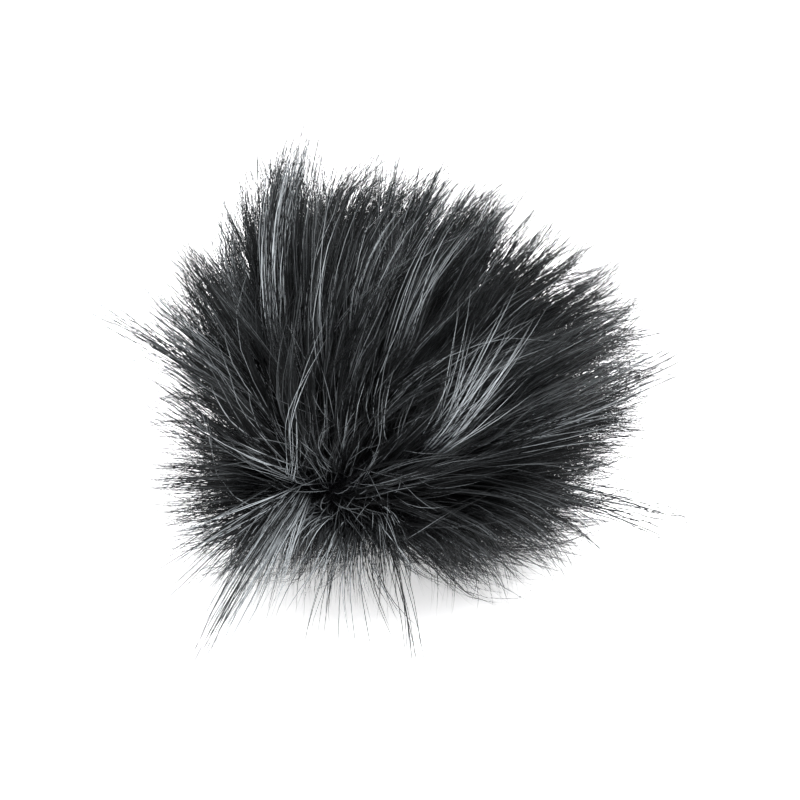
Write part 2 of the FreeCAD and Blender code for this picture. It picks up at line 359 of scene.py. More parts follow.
# The fur's outline: an ellipsoid about a point, and how far guard hair reaches past it.
FUR_CENTRE = np.array([0.0, 1.0, 3.5]) * MM
FUR_HALF = np.array([29.5, 31.0, 24.5]) * MM
FULL_REACH = 1.1
NO_LIMIT = 9.0

# Where the outline of the fur swells or dips: a direction from its middle, how much, how wide.
OUTLINE = (
    ((0.21, 0.72, 0.67), -0.37, 0.42),
    ((-0.2, 0.62, 0.75), -0.06, 0.3),
    ((0.8, 0.5, 0.3), -0.04, 0.4),
    ((-0.66, 0.33, 0.68), 0.36, 0.24),
    ((-0.93, -0.06, 0.35), 0.08, 0.22),
    ((-0.85, -0.5, -0.14), -0.05, 0.12),
    ((-0.68, -0.64, -0.36), 0.26, 0.3),
    ((-0.05, -0.69, -0.72), -0.38, 0.42),
    ((0.42, -0.54, -0.73), -0.34, 0.35),
    ((0.85, -0.12, -0.5), 0.06, 0.25),
)

# The pale locks: where each one is rooted (degrees round the axis from the right, degrees away from
# the crown), a place where it comes out of the fur and where it ends, both in millimetres, how many
# hairs it has, how wide it is in those two places, and how pale it is.
PALE_LOCKS = (
    (25, 68, (11.5, -20, 10.5), (10.5, -13, 25), 6, 1.6, 3, 0.7),
    (25, 68, (12, -20, 10), (14.3, -12.6, 24.5), 9, 1.6, 3, 0.9),
    (25, 68, (12.4, -20.2, 10), (17.6, -11, 23.6), 13, 1.4, 3.2, 1.1),
    (25, 68, (12.5, -20.3, 10), (19.2, -6, 24.8), 9, 1.2, 2.6, 1.1),
    (25, 68, (12.6, -20.3, 10), (20.6, -11, 21.3), 7, 1.4, 3.2, 1),
    (22, 70, (12.8, -20.5, 9.5), (23.2, -7.8, 19.5), 6, 1.4, 3, 0.7),
    (40, 60, (6, -20.5, 9), (8, -13.5, 24), 22, 2.2, 5, 0.4),
    (168, 33, (-3.5, -23.5, 3), (-2.5, -25, 14.5), 14, 0.6, 1, 0.9),
    (150, 36, (-2.5, -25, 13), (0.5, -16, 25), 4, 0.3, 1.2, 0.9),
    (95, 58, (-2.5, -15, 23), (-3, -3, 29), 26, 2.2, 3.8, 0.35),
    (67, 80, (6.5, -11.5, 22.5), (9.6, -3, 28.6), 30, 1.8, 3, 0.55),
    (85, 75, (0.5, -10, 24), (4.5, 1, 30), 30, 2.2, 3, 0.4),
    (26, 88, (21.5, -13.5, 11), (29.5, -1, 11), 22, 2.6, 5, 0.2),
    (4, 88, (21.5, -15, 8), (30, -5, 7.5), 12, 2.4, 5, 0.1),
    (139, 62, (-10.8, -9, 26.8), (-10.6, 4, 33), 44, 2.2, 3.6, 1.1),
    (140, 76, (-15, -12, 16), (-17.5, 2, 28), 24, 2.2, 4.6, 0.3),
    (148, 62, (-17, -17.5, 11.5), (-30, -10.5, 11), 120, 3, 5.6, 0.3),
    (125, 19, (-4, -25, 5), (-19, -23, 9), 7, 0.8, 2.6, 0.8),
    (150, 17, (-2, -25.8, 2), (-8.5, -31.4, -14), 84, 1.4, 4.4, 0.55),
    (170, 17, (-2, -25.5, 2.5), (-19, -30, -10), 12, 1.2, 4, 0.5),
    (-90, 20, (-1, -25.8, 0), (-5.5, -26.5, -13), 90, 2.4, 5.5, 0.4),
    (-60, 30, (3.5, -25.8, -2.5), (2.5, -24.4, -13.6), 76, 2.6, 5.5, 0.35),
    (-21, 35, (8, -25, 1), (10.5, -23.5, -14), 24, 2.2, 4.8, 0.3),
)

# Dark tufts that stand out of the fur's outline, given the same way.
DARK_TUFTS = (
    (200, 62, (-9.5, -24, 2.5), (-23, -24.5, 0.3), 130, 3, 2.6, -0.4),
    (205, 60, (-9.5, -23.5, -1), (-23.2, -23, -6), 160, 3.2, 2.6, -0.4),
    (212, 58, (-9, -23, -4), (-20, -24.2, -9.8), 140, 3, 2.8, -0.4),
    (225, 45, (-8, -22.5, -5.5), (-14.5, -26.8, -12.6), 100, 2.6, 3, -0.3),
    (240, 40, (-6, -23, -4.5), (-7.5, -26.4, -12.8), 110, 2.6, 3.2, -0.3),
    (260, 35, (-1, -25, -1.5), (-2.8, -24.6, -12.6), 110, 2.8, 3, -0.4),
    (285, 35, (3, -25, -1.5), (1.8, -23, -13), 110, 2.8, 3, -0.4),
    (305, 42, (7, -24, -1.5), (6, -20.4, -13.4), 110, 2.8, 3, -0.4),
    (320, 55, (13, -22, -1.2), (12.4, -17.5, -14.4), 100, 2.8, 3, -0.4),
    (330, 68, (16, -20.5, -1), (18, -14.5, -14.4), 90, 2.8, 2.6, -0.4),
    (130, 74, (-9.5, -10, 24.5), (-11.8, 5, 32.8), 220, 3.4, 2.6, -0.2),
    (134, 78, (-12, -8, 23), (-17, 2.4, 30), 150, 3.4, 2.6, -0.3),
    (138, 78, (-15, -10, 21), (-21, -5.5, 26.5), 90, 2.6, 2.2, -0.3),
    (142, 70, (-15.5, -16, 19), (-23, -11.2, 22.5), 100, 2.6, 2.2, -0.4),
    (-20, 84, (20.5, -18, 0), (24, -10, -15), 70, 2.6, 2.2, -0.3),
    (-14, 88, (22, -15, 0.5), (28, -6.2, -12.8), 70, 2.6, 2.2, -0.4),
    (12, 88, (23, -13.5, 13), (31, -2, 15.5), 80, 2.6, 2.2, -0.3),
    (14, 88, (24, -8, 16), (34, 4, 15.5), 40, 1.6, 1.8, -0.3),
)

# Long thin wisps, given the same way.
WISPS = (
    (154, 58, (-23.5, -16, 10), (-39.9, -13, 13.5), 10, 1.4, 1.6, 0),
    (156, 60, (-23, -15.5, 9), (-36, -13, 10.6), 18, 2.2, 4, 0.2),
    (12, 90, (25.5, -7.5, 11), (36, 4.5, 15), 16, 1.6, 2, -0.1),
    (6, 90, (25.5, -8, 9.5), (36, 2.5, 12), 18, 1.6, 2.4, -0.1),
    (-2, 90, (27, -7.5, -3.5), (40, 0, -8.5), 12, 1.5, 1.4, -0.1),
    (-8, 90, (27, -9, -2.5), (37, -2.5, -9.8), 18, 2.2, 4.2, -0.1),
    (150, 15, (-2, -25.5, 2), (-10.6, -40, -19.3), 18, 1.2, 1.3, 0.1),
    (160, 17, (-2, -25.5, 2), (-10.2, -34.5, -18.5), 14, 1.2, 2.6, 0.3),
    (170, 25, (-4, -25, 2), (-20, -31.5, -14.5), 14, 1, 5, 0.1),
    (-25, 35, (9.5, -25.5, -6), (13.8, -30.3, -19.3), 9, 1.2, 1.4, 0),
    (-60, 35, (3.5, -26, -4), (3, -25.4, -16), 34, 3.6, 8, 0.1),
)


def outline_share(places):
    """How far the fur reaches in each place's direction, as a share of its ellipsoid."""
    heading = unit((places - FUR_CENTRE) / FUR_HALF)
    share = np.full(len(places), FULL_REACH)
    for direction, swell, width in OUTLINE:
        angle = np.arccos(np.clip(heading @ unit(np.array(direction)), -1, 1))
        share += swell * np.exp(-((angle / width) ** 2))
    return share


def trim(points, limit, share):
    """Cut every hair at a share of its length, or earlier where it leaves the fur's outline,
    and space its points evenly again."""
    reach = np.linalg.norm((points - FUR_CENTRE) / FUR_HALF, axis=2)
    steps = points.shape[1] - 1
    outside = reach > limit[:, None]
    outside[:, 0] = False
    leaves = outside.any(axis=1)
    crossing = np.where(leaves, outside.argmax(axis=1), steps)
    rows = np.arange(len(points))
    before, after = reach[rows, crossing - 1], reach[rows, crossing]
    part = np.clip((limit - before) / np.maximum(after - before, 1e-9), 0.05, 1)
    end = np.minimum(np.where(leaves, crossing - 1 + part, steps), share * steps)
    where = np.linspace(0, 1, steps + 1)[None] * end[:, None]
    low = np.minimum(where.astype(int), steps - 1)
    between = (where - low)[..., None]
    return points[rows[:, None], low] * (1 - between) + points[rows[:, None], low + 1] * between


# The fur on top is brushed over to the right.
SWEEP = np.array([0.38, 0.15, 0.0])
GUARD_LENGTH = 29.4 * MM
# Guard hair is this much shorter on the front, and again below.
SHORTER = 3.15 * MM
# How far it leans from the backing's normal, in degrees: plainly, more on the front, more below.
ROOT_LEAN = (28, 24, 8)
TIP_LEAN = (56, 26, 6)
GUARD_FALL = 0.1


def comb(rng, pelt, turn, curl, jitter):
    """Long combed hairs on the places of a pelt."""
    front = smooth(-pelt.normal[:, 1], 0.3, 0.95)
    below = np.where(pelt.upper, 0.0, 1.0)
    top = smooth(pelt.normal[:, 2], 0.1, 0.7)[:, None]
    length = GUARD_LENGTH - SHORTER * (below + front)
    start, end = (
        np.radians(plain + on_front * front + on_lower * below) + jitter
        for plain, on_front, on_lower in (ROOT_LEAN, TIP_LEAN)
    )
    normal = unit(pelt.normal + turn)
    return grow(rng, pelt, normal, length, start, end, curl + SWEEP * top, GUARD_STEPS, GUARD_FALL)


def ruffle(points, cell, seed):
    """A smooth push from -1 to 1 along each axis, nearly the same for hairs that lie together."""
    places = points.reshape(-1, 3)
    push = [lattice_noise(places, cell, seed + axis) for axis in range(3)]
    return np.stack(push, axis=1).reshape(points.shape)


def pale_share(rng, locks):
    """The share of pale hairs in each lock: fewer towards the neck, on the right and most of all in
    the parting there, and more under the front, which is painted light from the floor showing
    through the fringe."""
    right, forward, height = locks.normal[:, 0], -locks.normal[:, 1], locks.normal[:, 2]
    share = np.clip(rng.gamma(0.7, 0.09, LOCK_COUNT), 0.01, 0.4)
    share *= 1 - 0.6 * smooth(locks.root[:, 1], -8 * MM, 0)
    # More pale hair under the front: painted light from the bright floor below.
    share += 0.22 * smooth(forward, 0.25, 0.7) * smooth(-height, 0.1, 0.6)
    share *= 1 - 0.9 * smooth(right, 0.1, 0.5) * smooth(-np.abs(height), -0.4, -0.1)
    share *= 1 - 0.4 * smooth(right, 0.3, 0.8)
    return share


def make_locks(rng):
    """Locks, which lead strands: each has its own turn, curl, lean, grip, reach and paleness."""
    locks = Pelt(rng, LOCK_COUNT)
    locks.turn = rng.normal(0, 0.26, (LOCK_COUNT, 3))
    locks.curl = rng.normal(0, 0.32, (LOCK_COUNT, 3))
    locks.lean = rng.normal(0, 0.13, LOCK_COUNT)
    locks.grip = rng.uniform(0.4, 0.95, LOCK_COUNT)
    locks.reach = rng.normal(1.0, 0.06, LOCK_COUNT)
    locks.pale = pale_share(rng, locks)
    locks.paths = comb(rng, locks, locks.turn, locks.curl, locks.lean)
    return locks


WAVE_SIZE = 0.42 * MM
RUFFLE_SIZE = 2.4 * MM
RUFFLE_CELL = 7 * MM
RUFFLE_SEED = 21


def make_strands(rng, locks):
    """Strands, which lead single hairs. Each follows the lock nearest to its root."""
    strands = Pelt(rng, STRAND_COUNT)
    lock = nearest(strands.root, locks.root)
    paths = comb(
        rng,
        strands,
        locks.turn[lock] + rng.normal(0, 0.13, (STRAND_COUNT, 3)),
        locks.curl[lock] + rng.normal(0, 0.2, (STRAND_COUNT, 3)),
        locks.lean[lock] + rng.normal(0, 0.12, STRAND_COUNT),
    )
    off_centre = strands.root - locks.root[lock]
    grip = locks.grip[lock][:, None, None] * ALONG ** 1.2
    led = locks.paths[lock] + off_centre[:, None] * (1 - 0.75 * ALONG)
    paths = paths * (1 - grip) + led * grip
    waves = rng.normal(0, 1, (STRAND_COUNT, 1, 3)) * np.sin(ALONG * math.pi * 1.6) * WAVE_SIZE
    waves = waves + ruffle(paths, RUFFLE_CELL, RUFFLE_SEED) * ALONG ** 1.3 * RUFFLE_SIZE
    strands.paths = paths + waves * smooth(paths[..., 2:] - FLOOR, -2 * MM, 7 * MM)
    edge = np.clip(np.linalg.norm(off_centre, axis=1) / (1.3 * MM), 0, 1)
    strands.reach = locks.reach[lock] * (1.02 - 0.14 * edge ** 2) * rng.normal(1, 0.03, STRAND_COUNT)
    # In a quarter of the locks many hairs are lighter grey: painted sheen, standing in for the fur's
    # shine.
    strands.grey = np.where(rng.random(STRAND_COUNT) < 0.25, 0.6, 0.12)
    strands.pale = locks.pale[lock]
    return strands


LOOSE_SHARE = 0.17
FINE_SHARE = 0.28
# Fine hairs are half as thick and reach a little further.
FINE_WIDTH = 0.5
FINE_REACH = 1.13


def guard_hair():
    """All the combed guard hair: its points, its thickness, its tone and where it grows."""
    rng = np.random.default_rng(SEED)
    strands = make_strands(rng, make_locks(rng))
    hairs = Pelt(rng, GUARD_COUNT)
    strand = nearest(hairs.root, strands.root)
    own = hairs.root - strands.root[strand]
    loose = rng.random(GUARD_COUNT) < LOOSE_SHARE
    hold = np.where(loose, 0.0, rng.uniform(0.15, 0.7, GUARD_COUNT))[:, None, None]
    points = strands.paths[strand] + own[:, None] * (1 - hold * ALONG ** 0.7)
    frizz = np.where(loose, 1.7, 0.5)[:, None, None] * rng.normal(0, MM, (GUARD_COUNT, 1, 3))
    points = points + frizz * ALONG ** 1.6
    points[..., 2] = np.maximum(points[..., 2], FLOOR + 0.15 * MM)
    limit = outline_share(points[:, -1]) * strands.reach[strand]
    limit *= 1.07 - 0.32 * rng.random(GUARD_COUNT) ** 1.2
    fine = rng.random(GUARD_COUNT) < FINE_SHARE
    limit = np.where(fine, FINE_REACH * limit, limit)
    kind = rng.random(GUARD_COUNT)
    pale = kind < strands.pale[strand]
    grey = ~pale & (kind < strands.grey[strand])
    shortest = np.where(pale, 0.35, 0.5)
    points = trim(points, limit, 1 - (1 - shortest) * rng.random(GUARD_COUNT) ** 1.7)
    # Grey hairs get a slightly lighter tone than dark ones: painted sheen.
    sheen_grey_tone, dark_tone = rng.uniform(0.5, 0.7, GUARD_COUNT), rng.uniform(0.02, 0.5, GUARD_COUNT)
    tone = np.where(pale, rng.uniform(0.7, 0.94, GUARD_COUNT), np.where(grey, sheen_grey_tone, dark_tone))
    radius = np.where(pale, 0.05, np.where(grey, 0.046, 0.045)) * np.where(fine, FINE_WIDTH, 1) * MM
    radius = radius * rng.uniform(0.8, 1.2, GUARD_COUNT)
    return keep_neck_open(points), radius, tone, hairs


def on_backing(places):
    """The nearest points of the backing's surface, and its normals there."""
    centre = places.copy()
    centre[:, 0] = 0
    centre[:, 2] = 0
    centre[:, 1] = np.clip(centre[:, 1], DOME_CENTRE, PILE_END)
    normal = unit(places - centre)
    return centre + normal * BACKING_RADIUS, normal


def curve_through(root, middle, ends):
    """Smooth paths from the roots to the ends, each by way of its own middle place."""
    first = np.linalg.norm(middle - root, axis=1)
    then = np.linalg.norm(ends - middle, axis=1)
    t = (first / (first + then))[:, None]
    knee = (middle - root * (1 - t) ** 2 - ends * t ** 2) / (2 * t * (1 - t))
    return (
        root[:, None] * (1 - ALONG) ** 2
        + knee[:, None] * 2 * ALONG * (1 - ALONG)
        + ends[:, None] * ALONG ** 2
    )


def hand_placed_lock(rng, row, shortest, thickness):
    """The hairs of one lock, which fan out from the place where they leave the fur: points,
    radius, tone, and whether they grow on the upper panel."""
    around, polar, via, tip, count, via_width, tip_width, paleness = row
    place = Pelt(rng, 1)
    place.set_places(np.radians([around]), np.radians([polar]), np.zeros(1))
    via, tip = np.array(via) * MM, np.array(tip) * MM
    ahead = unit(tip - via)
    side = unit(np.cross(ahead, [0.1, 0.2, 1.0]))
    other = np.cross(ahead, side)
    angle = rng.uniform(0, 2 * math.pi, count)
    off = rng.random(count) ** 0.6
    fan = turn_towards(side, other, angle) * off[:, None]
    root = on_backing(place.root + fan * 0.8 * via_width * MM)[0]
    middle = via + fan * via_width * MM + rng.normal(0, 0.25, (count, 3)) * MM
    ends = tip + fan * tip_width * MM + rng.normal(0, 0.1 * tip_width, (count, 3)) * MM
    swerve = rng.normal(0, 0.32, (count, 1, 3)) * np.sin(ALONG * math.pi * 1.7) * MM
    paths = curve_through(root, middle, ends) + swerve
    share = 1 - (1 - shortest) * rng.random(count) ** 1.3
    paths = trim(paths, np.full(count, NO_LIMIT), share)
    paths[..., 2] = np.maximum(paths[..., 2], FLOOR + 0.2 * MM)
    pale = rng.random(count) < 0.3 + 0.6 * paleness
    light = 0.7 + 0.28 * np.clip(paleness + rng.normal(0, 0.3, count), 0.0, 1)
    radius = rng.uniform(0.75, 1.25, count) * thickness
    tone = np.where(pale, light, rng.uniform(0.2, 0.66, count))
    return paths, radius, tone, np.full(count, place.upper[0])


def hand_placed(rng, rows, shortest, thickness):
    """The hairs of all the locks of a table."""
    locks = [hand_placed_lock(rng, row, shortest, thickness) for row in rows]
    return [np.concatenate(part) for part in zip(*locks)]


def strays(rng):
    """Short loose hairs that stand out of the parting every way."""
    count = STRAY_COUNT
    pelt = Pelt(rng, count)
    pelt.set_places(pelt.around, rng.uniform(0.05, 1.3, count), np.zeros(count))
    heading = unit(pelt.normal * 0.9 + rng.normal(0, 0.55, (count, 3)))
    lean = np.radians(rng.uniform(5, 40, count))
    length = rng.uniform(6, 13, count) * MM
    wander = rng.normal(0, 0.3, (count, 3))
    points = grow(rng, pelt, heading, length, lean, lean + 0.5, wander, UNDERFUR_STEPS)
    points = trim(points, outline_share(points[:, -1]) * 0.95, np.ones(count))
    tone = np.where(rng.random(count) < 0.4, rng.uniform(0.66, 0.84, count), 0.3)
    return points, rng.uniform(0.026, 0.04, count) * MM, tone, pelt.upper


def underfur():
    """The short dense pile: its points, its thickness, its tone and where it grows."""
    rng = np.random.default_rng(SEED + 1)
    count = UNDERFUR_COUNT
    pelt = Pelt(rng, count)
    lean = np.radians(35) + rng.normal(0, 0.3, count)
    length = rng.uniform(9, 17, count) * MM
    wander = rng.normal(0, 0.25, (count, 3))
    points = grow(rng, pelt, pelt.normal, length, lean, lean + 0.4, wander, UNDERFUR_STEPS)
    limit = outline_share(points[:, -1]) * rng.uniform(0.52, 0.8, count)
    points = keep_neck_open(trim(points, limit, np.ones(count)))
    radius = rng.uniform(0.05, 0.075, count) * MM
    return points, radius, rng.uniform(0.02, 0.98, count), pelt


def hair_piece(panel, kind, layer, material, hairs, chosen, taper=guard_taper):
    """A piece of a panel's chosen hairs, out of the (points, radius, tone) of them all."""
    shape = needles(*(part[chosen] for part in hairs), taper)
    make_piece(f"{panel}_{kind}", shape, COVER, material, f"{panel}_{layer}")


def by_panel(upper):
    return ("upper", upper), ("lower", ~upper)


def make_guard_hair(material):
    """The combed guard hair, in four zones of each panel."""
    *hairs, pelt = guard_hair()
    side = np.where(np.cos(pelt.around) < 0, "left", "right")
    zones = np.where(pelt.polar < 0.9, "crown", side)
    zones = np.where(pelt.along > 7.5 * MM, "neck", zones)
    for panel, here in by_panel(pelt.upper):
        for zone in ("crown", "left", "right", "neck"):
            chosen = here & (zones == zone)
            hair_piece(panel, f"guard_hair_{zone}", "guard_hair", material, hairs, chosen)


def make_placed_hair(material):
    """The listed locks, tufts and wisps, and the strays."""
    rng = np.random.default_rng(SEED + 2)
    for kind, taper, (*hairs, upper) in (
        ("pale_locks", guard_taper, hand_placed(rng, PALE_LOCKS, 0.5, 0.048 * MM)),
        ("dark_tufts", guard_taper, hand_placed(rng, DARK_TUFTS, 0.6, 0.045 * MM)),
        ("wisps", wisp_taper, hand_placed(rng, WISPS, 0.85, 0.048 * MM)),
        ("strays", guard_taper, strays(rng)),
    ):
        for panel, here in by_panel(upper):
            hair_piece(panel, kind, "guard_hair", material, hairs, here, taper)


def make_underfur(material):
    *hairs, pelt = underfur()
    for panel, here in by_panel(pelt.upper):
        hair_piece(panel, "underfur_pile", "underfur", material, hairs, here)


# ---- the sewn cover under the fur

KNIT_THICKNESS = 0.5 * MM
KNIT_RADIUS = BACKING_RADIUS - 0.4 * MM
ALLOWANCE_RADIUS = KNIT_RADIUS - 0.7 * MM
ALLOWANCE_WIDTH = 2.0 * MM
# The rows of a knitted panel's grid are angles above the seam: the allowance, its fold, the rest.
SEAM_GAP = 0.035
ALLOWANCE = np.linspace(ALLOWANCE_WIDTH / ALLOWANCE_RADIUS, SEAM_GAP, 7)
FOLD = np.array([0.012, 0.006, 0.012])
OPEN_PART = np.linspace(SEAM_GAP, math.pi / 2, 40)
# Its columns follow the seam: along the tube, round the dome and back.
TUBE_COLUMNS = 32
DOME_COLUMNS = 56
MEASURED_ROW = 20
DEEPEST_CREASE = 0.22 * MM
CLOTH = {
    "quality": 8, "mass": 0.3, "tension_stiffness": 15, "compression_stiffness": 15,
    "shear_stiffness": 5, "bending_stiffness": 0.3, "shrink_min": -0.06,
}


def creased(points, faces, held):
    """Let cloth that was cut a little too wide crease, with its held points fixed and no point
    moved far. The solver works a hundred times larger than life, where it is steady."""
    larger = 100
    frames = 20
    mesh = bpy.data.meshes.new("settling")
    mesh.from_pydata((points * larger).tolist(), [], faces.tolist())
    cloth = add_object("settling", mesh)
    cloth.vertex_groups.new(name="held").add(np.flatnonzero(held).tolist(), 1.0, "REPLACE")
    settings = cloth.modifiers.new("cloth", "CLOTH").settings
    settings.vertex_group_mass = "held"
    settings.effector_weights.gravity = 0
    for name, value in CLOTH.items():
        setattr(settings, name, value)
    for frame_number in range(1, frames + 1):
        SCENE.frame_set(frame_number)
    settled = cloth.evaluated_get(bpy.context.evaluated_depsgraph_get()).to_mesh()
    result = np.empty(len(points) * 3)
    settled.vertices.foreach_get("co", result)
    bpy.data.objects.remove(cloth)
    SCENE.frame_set(1)
    change = result.reshape(-1, 3) / larger - points
    size = np.linalg.norm(change, axis=1, keepdims=True)
    return points + change * np.minimum(1, DEEPEST_CREASE / np.maximum(size, 1e-9))


def panel_grid(direction):
    """A knitted panel's points, rows by columns, and the centre of every column along Y."""
    climb = np.concatenate([ALLOWANCE, FOLD, OPEN_PART])[:, None, None]
    turn_out = np.linspace(ALLOWANCE_RADIUS + 0.1 * MM, KNIT_RADIUS - 0.1 * MM, len(FOLD))
    inside = np.full(len(ALLOWANCE), ALLOWANCE_RADIUS)
    outside = np.full(len(OPEN_PART), KNIT_RADIUS)
    radius = np.concatenate([inside, turn_out, outside])[:, None, None]
    back = np.linspace(BACKING_HIGH[1], DOME_CENTRE, TUBE_COLUMNS)
    dome = np.linspace(0, math.pi, DOME_COLUMNS)[1:-1]
    heading = np.concatenate([np.zeros(TUBE_COLUMNS), dome, np.full(TUBE_COLUMNS, math.pi)])
    middle = np.concatenate([back, np.full(len(dome), DOME_CENTRE), back[::-1]])
    outward = np.stack([np.cos(heading), -np.sin(heading), 0 * heading], axis=1)
    spine = np.stack([0 * middle, middle, 0 * middle], axis=1)
    up = np.array([0, 0, direction])
    return spine[None] + radius * (np.cos(climb) * outward[None] + np.sin(climb) * up), middle


def whole(faces):
    """The triangles that have three different corners."""
    a, b, c = faces.T
    return faces[(a != b) & (b != c) & (c != a)]


def panel_faces(rows, middle, direction):
    """A knitted panel's triangles. No allowance is turned in past the pile, and the two sides of
    the grid meet in one line of points at the ridge."""
    columns = len(middle)
    faces = grid_faces(rows, columns)
    in_allowance = (faces // columns).min(axis=1) < len(ALLOWANCE) + 1
    past_pile = middle[faces % columns].max(axis=1) > PILE_END
    faces = faces[~(in_allowance & past_pile)]
    row, column = np.divmod(np.arange(rows * columns), columns)
    ridge = row == rows - 1
    partner = np.where(ridge & (column >= columns / 2), columns - 1 - column, column)
    partner = np.where(ridge & (partner >= TUBE_COLUMNS), TUBE_COLUMNS - 1, partner)
    faces = whole((row * columns + partner)[faces])
    return faces[:, ::-1] if direction < 0 else faces


def make_backing(side, direction):
    """One knitted half of the cover, sewn along its edge, with that edge turned in."""
    grid, middle = panel_grid(direction)
    rows, columns = grid.shape[:2]
    along_seam, climbed = travelled(grid[MEASURED_ROW]), travelled(grid[:, 0])
    across, up = np.meshgrid(along_seam / along_seam[-1], climbed / climbed[-1])
    used, compact = np.unique(panel_faces(rows, middle, direction), return_inverse=True)
    uv = np.stack([across.ravel(), up.ravel()], axis=1)[used]
    points, faces = grid.reshape(-1, 3)[used], compact.reshape(-1, 3)
    row, column = np.divmod(used, columns)
    held = (row < len(ALLOWANCE) + len(FOLD) + 1) | (column % (columns - 1) == 0)
    points = creased(points, faces, held)
    name, material, node = f"{side}_knit_panel", knit_material(f"{side}_knit"), f"{side}_backing"
    piece = make_piece(name, (points, faces, uv), COVER, material, node)
    thicken = piece.modifiers.new("thickness", "SOLIDIFY")
    thicken.thickness = KNIT_THICKNESS
    thicken.offset = 0
    apply_modifiers(piece)
    straight = BACKING_HIGH[1] - DOME_CENTRE
    area = 2 * straight * math.pi / 2 * KNIT_RADIUS + math.pi * KNIT_RADIUS ** 2
    area += (2 * straight + math.pi * KNIT_RADIUS) * ALLOWANCE_WIDTH


def apply_modifiers(piece):
    shaped = piece.evaluated_get(bpy.context.evaluated_depsgraph_get())
    mesh = bpy.data.meshes.new_from_object(shaped)
    piece.modifiers.clear()
    piece.data = mesh


TAPE_HALF = 0.25 * MM
TAPE_OVER_BACKING = 0.35 * MM
TAPE_COLUMNS = 300
PLEATS = 24
# How deep the gathers are at the cover's edge and how much deeper over the elastic, in millimetres.
PLEAT_DEPTH = (0.07, 0.16)


def tape_profile():
    """The folded tape's section, (radius, along) pairs: back along the inside of the neck, round
    the elastic, and forward again over the backing."""
    start = BINDING_LOW[1]
    bend = BINDING_RADIUS - RING_RADIUS - TAPE_HALF
    outer_leg = BACKING_RADIUS + TAPE_OVER_BACKING
    inner = np.linspace(start, RING_BACK, 12)
    sweep = np.linspace(math.pi, 0, 20)[1:]
    outer = np.linspace(RING_BACK, start, 22)[1:]
    drop = smooth(outer, RING_BACK - 1.3 * MM, RING_BACK)
    line = [
        np.stack([np.full(len(inner), RING_RADIUS - bend), inner], axis=1),
        np.stack([RING_RADIUS + bend * np.cos(sweep), RING_BACK + bend * np.sin(sweep)], axis=1),
        np.stack([outer_leg + (RING_RADIUS + bend - outer_leg) * drop, outer], axis=1),
    ]
    line = even_steps(np.concatenate(line), 0.28 * MM)
    tangent = unit(np.gradient(line, axis=0))
    normal = np.stack([-tangent[:, 1], tangent[:, 0]], axis=1) * TAPE_HALF
    beginning = line[0] - tangent[0] * TAPE_HALF * 0.8
    end = line[-1] + tangent[-1] * TAPE_HALF * 0.8
    return np.concatenate([[beginning], line + normal, [end], (line - normal)[::-1]])


def gathered(points, profile, angle):
    """The turned profile's points, pushed into the pleats that the elastic gathers the tape in."""
    circle = np.stack([np.cos(angle), np.sin(angle), 0 * angle], axis=1)
    drift = lattice_noise(circle, 0.45, 31) * 2.2
    depth = 0.65 + 0.35 * lattice_noise(circle, 0.3, 32)
    pleat = np.sin(PLEATS * angle + drift) * depth
    everywhere, deeper = PLEAT_DEPTH
    crest = smooth(profile[:, 1], BINDING_LOW[1], RING_BACK)
    waves = ((everywhere + deeper * crest) * MM)[:, None] * pleat[None]
    away = profile - [RING_RADIUS, RING_BACK]
    distance = np.linalg.norm(away, axis=1)
    by_channel = smooth(profile[:, 1], RING_BACK - 1.6 * MM, RING_BACK - 0.4 * MM)
    push_out = by_channel * away[:, 0] / distance + (1 - by_channel)
    push_back = by_channel * away[:, 1] / distance
    points = points + (waves * push_out[:, None])[..., None] * spokes(angle)[None]
    points[..., 1] += waves * push_back[:, None]
    return points


def make_binding():
    """The tape folded round the cover's raw edge, gathered by the elastic in its channel."""
    profile = tape_profile()
    rows = len(profile)
    angle = around_once(TAPE_COLUMNS)
    points = gathered(turned(profile, TAPE_COLUMNS), profile, angle).reshape(-1, 3)
    faces = grid_faces(rows, TAPE_COLUMNS, wrap_rows=True, wrap_columns=True)
    there_and_back, share = np.abs(angle / math.pi - 1), np.arange(rows) / rows
    uv = np.stack(np.broadcast_arrays(there_and_back, share[:, None]), axis=2).reshape(-1, 2)
    shape, material = (points, faces, uv), tape_material()
    piece = make_piece(
        "neck_binding_tape", shape, COVER, material, "neck_binding"
    )


def islands(node):
    """The points of each separate solid in a CAD node's mesh."""
    mesh = frame["nodes"][node].data
    points = np.array([vertex.co for vertex in mesh.vertices])
    same_place = 0.001 * MM
    rounded = np.round(points / same_place).astype(int)
    where = np.unique(rounded, axis=0, return_inverse=True)[1].ravel()
    edges = np.array([edge.vertices for edge in mesh.edges])
    label = np.arange(where.max() + 1)
    ends = where[edges]
    before = None
    while not np.array_equal(label, before):
        before = label.copy()
        np.minimum.at(label, ends, label[ends].min(axis=1, keepdims=True))
    own = label[where]
    return [points[own == number] for number in np.unique(own)]


STITCH_STEPS = 18
PLY_RADIUS = 0.07 * MM
PLY_OFFSET = 0.06 * MM
PLY_TWIST = 5.0
THREAD_SIDES = 6


def thread_taper(where):
    return 0.5 + 0.5 * smooth(np.minimum(where, 1 - where), 0, 0.08)


